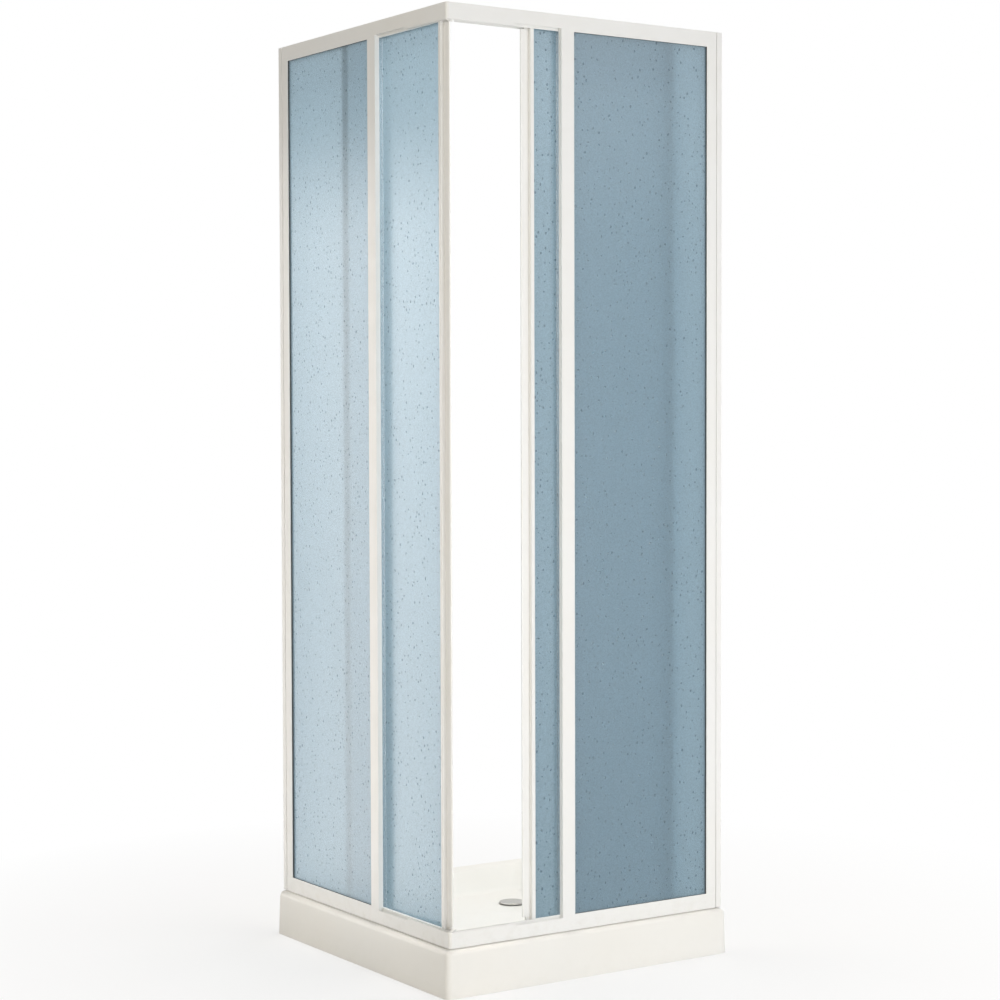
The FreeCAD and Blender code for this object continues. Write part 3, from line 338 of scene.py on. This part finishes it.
# Colour of the slow patches beside the finish they lie on
POWDER_WARMTH = (0.985, 0.965, 0.92)
GLAZE_WARMTH = (0.99, 0.97, 0.93)
PLASTIC_AGE = (0.97, 0.94, 0.86)
ZINC_SHADE = (0.72, 0.74, 0.78)
WASTE_SHADE = 0.8
NUT_SHADE = 0.75
RUBBER_BLOOM = 0.05


class SHOWER_OT_dress_profiles(bpy.types.Operator):
    """Dress the aluminium profiles in white powder coat"""
    bl_idname = "shower.dress_profiles"
    bl_label = "Profiles"

    def execute(self, context):
        rgb = context.scene.shower_finishes.profile
        dress("white_profile", plain_finish(
            "white_powder_coat", rgb, toned(rgb, POWDER_WARMTH), gloss=0.45, patch_scale=3.0, wave=420.0,
            grain=1800.0, sheen=0.3, relief=0.05, depth=0.0002, soil=SILL_SOIL))
        return {"FINISHED"}


class SHOWER_OT_dress_tray(bpy.types.Operator):
    """Dress the tray in a white glaze"""
    bl_idname = "shower.dress_tray"
    bl_label = "Tray"

    def execute(self, context):
        rgb = context.scene.shower_finishes.tray
        dress("tray", plain_finish(
            "tray_glaze", rgb, toned(rgb, GLAZE_WARMTH), gloss=0.36, patch_scale=2.2, wave=26.0,
            grain=240.0, sheen=0.25, grain_share=0.15, relief=0.06, depth=0.001, soil=TRAY_SOIL))
        return {"FINISHED"}


class SHOWER_OT_dress_waste(bpy.types.Operator):
    """Dress the waste, its cover and its nut"""
    bl_idname = "shower.dress_waste"
    bl_label = "Waste"

    def execute(self, context):
        finishes = context.scene.shower_finishes
        dull = dimmed(finishes.chrome, WASTE_SHADE)
        dress("chrome", plain_finish(
            "satin_waste", finishes.chrome, dull, gloss=0.34, metallic=1.0, patch_scale=30.0, wave=260.0,
            grain=2600.0, relief=0.06, depth=0.0002))
        grey = dimmed(finishes.nut, NUT_SHADE)
        dress("grey_plastic", plain_finish("grey_nut_plastic", finishes.nut, grey, gloss=0.5, relief=0.1))
        return {"FINISHED"}


class SHOWER_OT_dress_plastics(bpy.types.Operator):
    """Dress the corner joints, caps, shoes, rollers and closing seals"""
    bl_idname = "shower.dress_plastics"
    bl_label = "Plastic pieces"

    def execute(self, context):
        finishes = context.scene.shower_finishes
        for slot, name, rgb, gloss in (("white_plastic", "white_moulding", finishes.plastic, 0.42),
                                       ("roller_plastic", "roller_nylon", finishes.roller, 0.38),
                                       ("pale_seal", "soft_seal", finishes.seal, 0.5)):
            dress(slot, plain_finish(
                name, rgb, toned(rgb, PLASTIC_AGE), gloss=gloss, patch_scale=14.0, wave=700.0, grain=2400.0,
                relief=0.08, depth=0.0002))
        return {"FINISHED"}


class SHOWER_OT_dress_rubber(bpy.types.Operator):
    """Dress the gaskets, stops and the strip under the sills"""
    bl_idname = "shower.dress_rubber"
    bl_label = "Rubber pieces"

    def execute(self, context):
        finishes = context.scene.shower_finishes
        for slot, name, rgb in (("dark_rubber", "black_rubber", finishes.rubber),
                                ("grey_rubber", "grey_rubber", finishes.strip)):
            bloom = [value + RUBBER_BLOOM for value in rgb]
            dress(slot, plain_finish(
                name, rgb, bloom, gloss=0.62, patch_scale=18.0, wave=500.0, grain=3000.0, relief=0.15,
                depth=0.0003))
        return {"FINISHED"}


class SHOWER_OT_dress_metal(bpy.types.Operator):
    """Dress the screws, hangers and axles in zinc plate"""
    bl_idname = "shower.dress_metal"
    bl_label = "Metal pieces"

    def execute(self, context):
        rgb = context.scene.shower_finishes.steel
        dress("steel", plain_finish(
            "zinc_plate", rgb, toned(rgb, ZINC_SHADE), gloss=0.3, metallic=1.0, patch_scale=80.0,
            wave=900.0, grain=4000.0, relief=0.1, depth=0.0001))
        return {"FINISHED"}


# Patterned sheets

# Pebbles in a metre of sheet, and their shade beside the sheet's own colour
PEBBLES = 230.0
PEBBLE_SHADE = 0.84
# Share of a lamp's light that passes one face of a sheet at least
LAMP_PASS = 0.9
# Share of the scattered light that a sheet throws back
THROWN_BACK = 0.5
# How far a sheet bends light, and how much its faces mirror
SHEET_IOR = 1.58
SHEET_SHEEN = 0.75
# Fine grain of a sheet: waves and grains in a metre, the share of the grains, their depth and strength
SHEET_WAVE = 210.0
SHEET_GRAIN = 520.0
SHEET_GRAIN_SHARE = 0.45
SHEET_GRAIN_DEPTH = 0.0008
SHEET_RELIEF = 0.15
# The clear fins are hardly cloudy
FIN_CLOUDINESS = 0.05
FIN_ROUGHNESS = 0.12
FIN_RELIEF = 0.05


def sheet_material(name, tint, cloud, cloudiness, roughness, relief):
    """A tinted sheet that lets some light straight through, blurs it a little and scatters the rest.

    Lamps shine through it without being bent, so that what stands behind the sheet is lit.
    """
    material, tree, place, out = new_material(name)

    def pebbled(rgb):
        return group_node(tree, shared_group("mottle", mottle_group), {
            "Vector": place, "Colour": solid(rgb), "Patch": solid(dimmed(rgb, PEBBLE_SHADE)),
            "Scale": PEBBLES, "Amount": 1.0, "Gloss": roughness})

    height = group_node(tree, shared_group("grain", grain_group), {
        "Vector": place, "Wave": SHEET_WAVE, "Grain": SHEET_GRAIN, "Share": SHEET_GRAIN_SHARE})["Height"]
    bump = tree.node("ShaderNodeBump", {
        "Strength": relief, "Distance": SHEET_GRAIN_DEPTH, "Height": height})
    body = pebbled(tint)
    clear = tree.node("ShaderNodeBsdfPrincipled", {
        "Base Color": body["Colour"], "Roughness": body["Roughness"], "IOR": SHEET_IOR,
        "Specular IOR Level": SHEET_SHEEN, "Transmission Weight": 1.0, "Normal": bump.outputs["Normal"]})
    haze = pebbled(cloud)["Colour"]
    passing = tree.node("ShaderNodeBsdfTranslucent", {"Color": haze})
    thrown_back = tree.node("ShaderNodeBsdfDiffuse", {"Color": haze})
    cloudy = tree.node("ShaderNodeMixShader", {
        0: THROWN_BACK, 1: passing.outputs[0], 2: thrown_back.outputs[0]})
    seen = tree.node("ShaderNodeMixShader", {0: cloudiness, 1: clear.outputs[0], 2: cloudy.outputs[0]})
    passed = [LAMP_PASS + (1 - LAMP_PASS) * value for value in tint]
    for_lamps = tree.node("ShaderNodeBsdfTransparent", {"Color": solid(passed)})
    path = tree.node("ShaderNodeLightPath").outputs
    both = tree.node("ShaderNodeMixShader", {
        0: path["Is Shadow Ray"], 1: seen.outputs[0], 2: for_lamps.outputs[0]})
    tree.feed(out.inputs["Surface"], both.outputs[0])
    return material


# Faces round a drop and along it, few because there are thousands of drops
DROP_SEGMENTS = 7
DROP_RINGS = 4
# How far a drop's flat back lies inside its sheet, beside its relief
DROP_SINK = 0.15
# Tint and cloud of a drop beside those of its sheet, and its gloss. The deeper tint and lesser cloud come
# partly from a drop's thicker resin and partly are painted shade, standing in for the dark side that a
# lens-like drop shows
DROP_TINT_AND_PAINTED_SHADE = 0.9
DROP_CLOUD_AND_PAINTED_SHADE = 0.85
DROP_ROUGHNESS = 0.05
# Smallest and largest drop beside an average one, and the most that a drop leans, in radians
DROP_SMALLEST = (0.5, 0.5, 0.6)
DROP_LARGEST = (1.3, 1.4, 1.0)
DROP_LEAN = 0.5


def relief_tree():
    """A tree that scatters raised drops over a flat window, which lies in its own X and Y."""
    group = bpy.data.node_groups.new("raindrop_relief", "GeometryNodeTree")
    face = group.interface
    face.new_socket("Geometry", in_out="INPUT", socket_type="NodeSocketGeometry")
    for title, kind in (("Spacing", "Float"), ("Density", "Float"), ("Width", "Float"),
                        ("Stretch", "Float"), ("Relief", "Float"), ("Seed", "Int"), ("Finish", "Material")):
        face.new_socket(title, in_out="INPUT", socket_type=f"NodeSocket{kind}")
    face.new_socket("Geometry", in_out="OUTPUT", socket_type="NodeSocketGeometry")
    tree = Tree(group)
    given = tree.node("NodeGroupInput").outputs
    points = tree.node("GeometryNodeDistributePointsOnFaces", {
        "Mesh": given["Geometry"], "Distance Min": given["Spacing"], "Density Max": given["Density"],
        "Seed": given["Seed"]}, distribute_method="POISSON")

    ball = tree.node("GeometryNodeMeshUVSphere", {
        "Segments": DROP_SEGMENTS, "Rings": DROP_RINGS, "Radius": 1.0})
    position = tree.node("GeometryNodeInputPosition").outputs[0]
    flat_back = tree.node("ShaderNodeVectorMath", {0: position, 1: (-1.0, -1.0, -DROP_SINK)},
                          operation="MAXIMUM")
    dome = tree.node("GeometryNodeSetPosition", {
        "Geometry": ball.outputs["Mesh"], "Position": flat_back.outputs[0]})
    half = tree.math("MULTIPLY", given["Width"], 0.5)
    size = tree.node("ShaderNodeCombineXYZ", {
        "X": half, "Y": tree.math("MULTIPLY", half, given["Stretch"]), "Z": given["Relief"]})
    drop = tree.node("GeometryNodeTransform", {"Geometry": dome.outputs[0], "Scale": size.outputs[0]})

    sizes = tree.node("FunctionNodeRandomValue", {
        0: DROP_SMALLEST, 1: DROP_LARGEST, "Seed": given["Seed"]}, data_type="FLOAT_VECTOR")
    lean = tree.node("FunctionNodeRandomValue", {
        2: -DROP_LEAN, 3: DROP_LEAN, "Seed": given["Seed"]}, data_type="FLOAT")
    turn = tree.node("ShaderNodeCombineXYZ", {"Z": lean.outputs[1]})
    drops = tree.node("GeometryNodeInstanceOnPoints", {
        "Points": points.outputs["Points"], "Instance": drop.outputs[0], "Rotation": turn.outputs[0],
        "Scale": sizes.outputs[0]})
    real = tree.node("GeometryNodeRealizeInstances", {"Geometry": drops.outputs[0]})
    smooth = tree.node("GeometryNodeSetShadeSmooth", {"Geometry": real.outputs[0]})
    finished = tree.node("GeometryNodeSetMaterial", {
        "Geometry": smooth.outputs[0], "Material": given["Finish"]})
    tree.node("NodeGroupOutput", {"Geometry": finished.outputs[0]})
    return group


def set_inputs(modifier, values):
    """Sets a nodes modifier's inputs, which are found by name and written by identifier."""
    for item in modifier.node_group.interface.items_tree:
        if item.in_out == "INPUT" and item.name in values:
            modifier[item.identifier] = values[item.name]


def along_side(side, place):
    return place.y if side == "left" else place.x


def sheet_window(side, kind):
    """What shows of a sheet: its lower left corner as seen from outside, its width and its height."""
    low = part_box(f"{side}_{kind}_panel")[0]
    if kind == "fixed":
        start = along_side(side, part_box(f"{side}_middle_stile")[1])
        end = along_side(side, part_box(f"{side}_jamb_stile")[0])
        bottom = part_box(f"{side}_sill")[1].z
        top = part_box(f"{side}_header")[0].z
    else:
        rail_low, rail_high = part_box(f"{side}_door_bottom_rail")
        start = along_side(side, rail_low)
        end = along_side(side, rail_high)
        bottom = rail_high.z
        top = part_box(f"{side}_door_top_rail")[0].z
    corner = Vector((low.x, end, bottom)) if side == "left" else Vector((start, low.y, bottom))
    return corner, end - start, top - bottom


def relief_mesh(group, width, height, inputs):
    """The drops of one sheet as a plain mesh, flat in X and Y with the relief along Z."""
    margin = inputs["Width"]
    corners = [(margin, margin, 0), (width - margin, margin, 0), (width - margin, height - margin, 0),
               (margin, height - margin, 0)]
    window = bpy.data.meshes.new("sheet_window")
    window.from_pydata(corners, [], [(0, 1, 2, 3)])
    carrier = bpy.data.objects.new("sheet_window", window)
    bpy.context.scene.collection.objects.link(carrier)
    modifier = carrier.modifiers.new("relief", "NODES")
    modifier.node_group = group
    set_inputs(modifier, inputs)
    bpy.context.view_layer.update()
    mesh = bpy.data.meshes.new_from_object(carrier.evaluated_get(bpy.context.evaluated_depsgraph_get()))
    carrier.modifiers.remove(modifier)
    bpy.data.objects.remove(carrier)
    return mesh


class SHOWER_OT_dress_sheets(bpy.types.Operator):
    """Dress the patterned sheets and the clear fins, and raise the drops of the sheets"""
    bl_idname = "shower.dress_sheets"
    bl_label = "Patterned sheets"

    def execute(self, context):
        sheets = context.scene.shower_sheets
        dress("patterned_sheet", sheet_material("patterned_sheet", sheets.tint, sheets.cloud,
                                                sheets.cloudiness, sheets.roughness, SHEET_RELIEF))
        # The drops' deeper tint and lesser cloud are partly painted shade for the dark side of each drop
        drops = sheet_material("raised_drops", dimmed(sheets.tint, DROP_TINT_AND_PAINTED_SHADE), sheets.cloud,
                               sheets.cloudiness * DROP_CLOUD_AND_PAINTED_SHADE, DROP_ROUGHNESS, relief=0.0)
        fin = context.scene.shower_finishes.fin
        dress("clear_seal", sheet_material("clear_fin", fin, fin, FIN_CLOUDINESS, FIN_ROUGHNESS,
                                           FIN_RELIEF))
        group = relief_tree()
        seed = sheets.seed
        for side in SIDES:
            for kind, body in (("fixed", "enclosure"), ("door", f"{side}_door")):
                corner, width, height = sheet_window(side, kind)
                seed += 1
                mesh = relief_mesh(group, width, height, {
                    "Spacing": sheets.drop_spacing, "Density": sheets.drop_density,
                    "Width": sheets.drop_width, "Stretch": sheets.drop_stretch,
                    "Relief": sheets.drop_height, "Seed": seed, "Finish": drops})
                if not mesh.polygons:
                    raise RuntimeError(f"no drops on the {side} {kind} sheet")
                turn = Matrix((ACROSS[side], UP, OUTWARD[side])).transposed().to_4x4()
                mesh.transform(Matrix.Translation(corner) @ turn)
                piece = bpy.data.objects.new(f"{side}_{kind}_drops", mesh)
                context.scene.collection.objects.link(piece)
                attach(piece, body)
        return {"FINISHED"}


# Stage

FLOOR_RADIUS = 14.0
FLOOR_SIDES = 96
FLOOR_COLOUR = (0.86, 0.86, 0.86)
# Where the floor's own shade begins to fade, where it has gone over into white, and its share at first
SHADE_NEAR = 0.55
SHADE_FAR = 1.6
SHADE_SHARE = 0.35
# What the lamps point at
MIDDLE = Vector((0, 0, 1.0))
WHITE = (1.0, 1.0, 1.0)
# Each lamp: its place, its width, its height and its colour
LAMPS = {
    "key": ((0.7, -3.6, 0.9), 1.6, 2.0, (0.98, 0.99, 1.0)),
    "fill": ((-3.8, -2.0, 1.7), 2.4, 2.4, (1.0, 0.92, 0.77)),
    "rim": ((3.6, 1.4, 2.0), 2.0, 2.4, WHITE),
    "top": ((0.05, 0.0, 4.0), 0.8, 0.8, (1.0, 0.93, 0.84)),
}
RIGHT_CARD = ((2.1, -3.7, 2.6), 1.3, 1.2)
# The left card stands close beside the left sheets, towards their wall. Dimmer strips soften its top edge.
LEFT_CARD_PLACE = (-0.62, 0.49)
LEFT_CARD_WIDTH = 0.80
LEFT_CARD_TOP = 1.60
LEFT_CARD_STRIP = 0.05
LEFT_CARD_FADES = (0.8, 0.6, 0.4, 0.2)
LEFT_CARD_COLOUR = (1.0, 0.97, 0.95)


def seen_directly(tree):
    """One for what the camera sees, straight, mirrored or through a sheet."""
    path = tree.node("ShaderNodeLightPath").outputs
    mirrored = tree.math("MAXIMUM", path["Is Glossy Ray"], path["Is Transmission Ray"])
    return tree.math("MAXIMUM", path["Is Camera Ray"], mirrored)


def floor_material():
    """A pale floor that keeps the shadow near the object and runs out into white."""
    material, tree, place, out = new_material("pale_floor")
    distance = tree.node("ShaderNodeVectorMath", {0: place}, operation="LENGTH").outputs["Value"]
    white = tree.math("MULTIPLY", seen_directly(tree),
                      tree.spread(distance, SHADE_NEAR, SHADE_FAR, 1.0 - SHADE_SHARE, 1.0))
    shaded = tree.node("ShaderNodeBsdfDiffuse", {"Color": solid(FLOOR_COLOUR)})
    bright = tree.node("ShaderNodeEmission", {"Color": solid(WHITE), "Strength": 1.0})
    mix = tree.node("ShaderNodeMixShader", {0: white, 1: shaded.outputs[0], 2: bright.outputs[0]})
    tree.feed(out.inputs["Surface"], mix.outputs[0])
    return material


def make_floor():
    mesh = bpy.data.meshes.new("floor")
    turns = [2 * math.pi * index / FLOOR_SIDES for index in range(FLOOR_SIDES)]
    edge = [(FLOOR_RADIUS * math.cos(turn), FLOOR_RADIUS * math.sin(turn), 0) for turn in turns]
    mesh.from_pydata(edge, [], [tuple(range(FLOOR_SIDES))])
    mesh.materials.append(floor_material())
    floor = bpy.data.objects.new("floor", mesh)
    bpy.context.scene.collection.objects.link(floor)


def make_world(strength):
    """Even light from all round, which the camera sees as plain white."""
    world = bpy.data.worlds.new("studio")
    bpy.context.scene.world = world
    world.use_nodes = True
    world.node_tree.nodes.clear()
    tree = Tree(world.node_tree)
    soft = tree.node("ShaderNodeBackground", {"Color": solid(WHITE), "Strength": strength})
    white = tree.node("ShaderNodeBackground", {"Color": solid(WHITE), "Strength": 1.0})
    mix = tree.node("ShaderNodeMixShader", {
        0: seen_directly(tree), 1: soft.outputs[0], 2: white.outputs[0]})
    tree.node("ShaderNodeOutputWorld", {"Surface": mix.outputs[0]})


def make_lamp(name, place, width, height, watts, rgb, target=MIDDLE, card=False):
    """A soft lamp that is not seen through the sheets, or a card that lights no dull surface."""
    light = bpy.data.lights.new(name, "AREA")
    light.shape = "RECTANGLE"
    light.size = width
    light.size_y = height
    light.energy = watts
    light.color = rgb
    lamp = bpy.data.objects.new(name, light)
    lamp.location = place
    lamp.rotation_mode = "QUATERNION"
    lamp.rotation_quaternion = (Vector(target) - Vector(place)).to_track_quat("-Z", "Y")
    lamp.visible_diffuse = not card
    lamp.visible_transmission = False
    lamp.visible_camera = False
    bpy.context.scene.collection.objects.link(lamp)


def make_left_card(watts):
    """A warm card and dimmer strips above it, each of them with its own share of the card's brightness."""
    pieces = [(0.0, LEFT_CARD_TOP, 1.0)]
    for number, fade in enumerate(LEFT_CARD_FADES):
        pieces.append((LEFT_CARD_TOP + number * LEFT_CARD_STRIP, LEFT_CARD_STRIP, fade))
    for number, (bottom, height, fade) in enumerate(pieces):
        place = Vector((*LEFT_CARD_PLACE, bottom + height / 2))
        make_lamp(f"left_card_{number}", place, LEFT_CARD_WIDTH, height,
                  watts * fade * height / LEFT_CARD_TOP, LEFT_CARD_COLOUR, target=place - OUTWARD["left"],
                  card=True)


def make_camera(stage):
    camera = bpy.data.cameras.new("camera")
    camera.lens = stage.lens
    level = Vector((math.sin(stage.heading), math.cos(stage.heading), 0))
    forward = level * math.cos(stage.tilt) + UP * math.sin(stage.tilt)
    right = forward.cross(UP).normalized()
    top = right.cross(forward)
    turn = Matrix((right, top, -forward)).transposed() @ Matrix.Rotation(stage.roll, 3, "Z")
    viewer = bpy.data.objects.new("camera", camera)
    viewer.matrix_world = Matrix.Translation(stage.camera_place) @ turn.to_4x4()
    bpy.context.scene.collection.objects.link(viewer)
    bpy.context.scene.camera = viewer


class SHOWER_OT_set_stage(bpy.types.Operator):
    """Set the floor, the lamps, the surrounding light and the camera"""
    bl_idname = "shower.set_stage"
    bl_label = "Stage"

    def execute(self, context):
        stage = context.scene.shower_stage
        make_floor()
        make_world(stage.sky)
        for name, (place, width, height, rgb) in LAMPS.items():
            make_lamp(name, place, width, height, getattr(stage, name), rgb)
        make_left_card(stage.left_card)
        make_lamp("right_card", *RIGHT_CARD, stage.right_card, WHITE, card=True)
        make_camera(stage)
        context.scene.view_settings.view_transform = "Standard"
        return {"FINISHED"}


# Add-on

OPERATORS = (
    SHOWER_OT_dress_profiles, SHOWER_OT_dress_tray, SHOWER_OT_dress_waste, SHOWER_OT_dress_plastics,
    SHOWER_OT_dress_rubber, SHOWER_OT_dress_metal, SHOWER_OT_dress_sheets, SHOWER_OT_set_stage,
)


class SHOWER_PT_panel(bpy.types.Panel):
    """Lists the steps that dress the enclosure and set its stage"""
    bl_idname = "SHOWER_PT_panel"
    bl_label = "Corner Shower Enclosure"
    bl_space_type = "VIEW_3D"
    bl_region_type = "UI"
    bl_category = "Shower"

    def draw(self, context):
        scene = context.scene
        for group in (scene.shower_finishes, scene.shower_sheets, scene.shower_stage):
            box = self.layout.box()
            for name in group.__annotations__:
                box.prop(group, name)
        for operator in OPERATORS:
            self.layout.operator(operator.bl_idname)


GROUPS = {"shower_finishes": ShowerFinishes, "shower_sheets": ShowerSheets, "shower_stage": ShowerStage}


def register():
    for kind in (*GROUPS.values(), *OPERATORS, SHOWER_PT_panel):
        bpy.utils.register_class(kind)
    for name, kind in GROUPS.items():
        setattr(bpy.types.Scene, name, PointerProperty(type=kind))


def unregister():
    for name in GROUPS:
        delattr(bpy.types.Scene, name)
    for kind in (SHOWER_PT_panel, *reversed(OPERATORS), *GROUPS.values()):
        bpy.utils.unregister_class(kind)


def main():
    register()
    bpy.ops.shower.dress_profiles()
    bpy.ops.shower.dress_tray()
    bpy.ops.shower.dress_waste()
    bpy.ops.shower.dress_plastics()
    bpy.ops.shower.dress_rubber()
    bpy.ops.shower.dress_metal()
    bpy.ops.shower.dress_sheets()
    bpy.ops.shower.set_stage()


if __name__ == "__main__":
    main()
